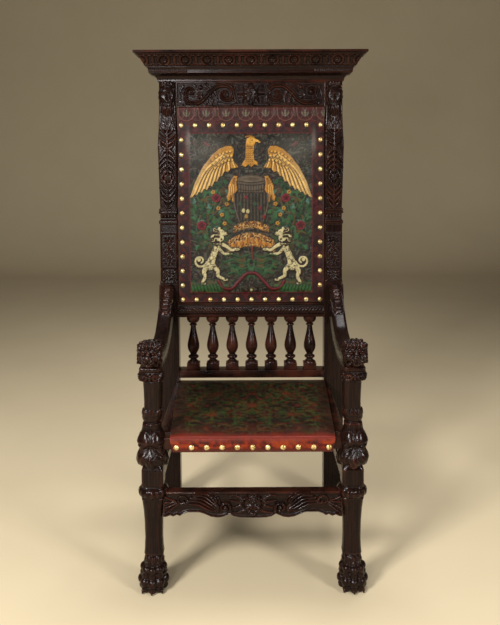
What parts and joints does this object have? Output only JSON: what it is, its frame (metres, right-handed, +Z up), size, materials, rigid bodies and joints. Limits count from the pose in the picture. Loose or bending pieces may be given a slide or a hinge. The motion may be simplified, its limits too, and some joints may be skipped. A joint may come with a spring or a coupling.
{
  "type": "throne",
  "caption": "Carved high-backed throne chair with lion-head arms, paw feet, turned spindles, and a painted leather back and seat.",
  "frame": {"origin": "centre of the footprint box, on the floor under the feet", "axes": "+Z up, -Y towards the front of the chair, +X towards the right arm as seen from the front"},
  "size_m": [0.836, 0.679, 1.7],
  "materials": {
    "carved_oak": "waxed, nearly black-brown",
    "back_leather": "embossed and painted, satin",
    "seat_leather": "worn, glossy"
  },
  "bodies": {
    "root": {"cornice": "carved_oak", "frieze_rail": "carved_oak", "back_post_left": "carved_oak", "back_post_right": "carved_oak", "back_pad": "back_leather", "mid_rail": "carved_oak", "baluster_1": "carved_oak", "baluster_2": "carved_oak", "baluster_3": "carved_oak", "baluster_4": "carved_oak", "baluster_5": "carved_oak", "baluster_6": "carved_oak", "baluster_7": "carved_oak", "lower_rail": "carved_oak", "seat_rail_front": "carved_oak", "seat_rail_back": "carved_oak", "seat_rail_left": "carved_oak", "seat_rail_right": "carved_oak", "seat_pad": "seat_leather", "arm_left": "carved_oak", "arm_right": "carved_oak", "front_post_left": "carved_oak", "front_post_right": "carved_oak", "front_stretcher": "carved_oak", "side_stretcher_left": "carved_oak", "side_stretcher_right": "carved_oak", "back_stretcher": "carved_oak"}
  },
  "joints": []
}
